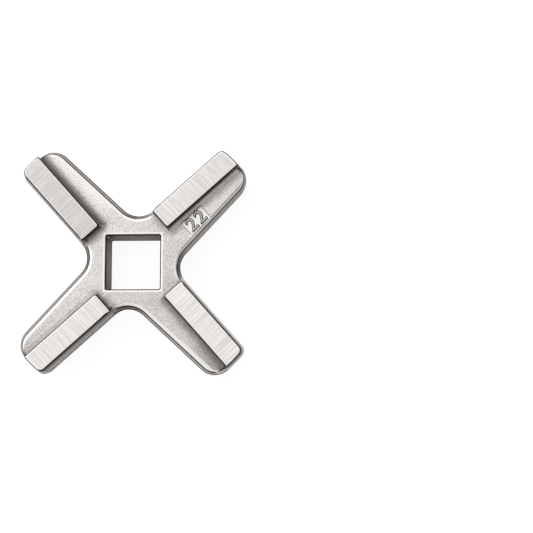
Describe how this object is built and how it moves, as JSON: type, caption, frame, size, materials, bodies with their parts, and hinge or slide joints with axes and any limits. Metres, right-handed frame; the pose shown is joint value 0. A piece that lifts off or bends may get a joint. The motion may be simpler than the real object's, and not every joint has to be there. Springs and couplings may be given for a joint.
{
  "type": "meat grinder knife",
  "caption": "Cross-shaped grinder knife with raised ground lands along the leading sides of its arms and a square drive hole through the hub.",
  "frame": {"origin": "centre of the square drive hole, on the back face", "axes": "+Z along the drive hole towards the ground lands, +X and +Y square to the hole's walls, with an arm in each quadrant"},
  "size_m": [0.0624, 0.0624, 0.0135],
  "materials": {
    "cast_steel": "pale cast steel, bead-blasted, with the lands ground flat"
  },
  "bodies": {
    "root": {"knife": "cast_steel"}
  },
  "joints": []
}
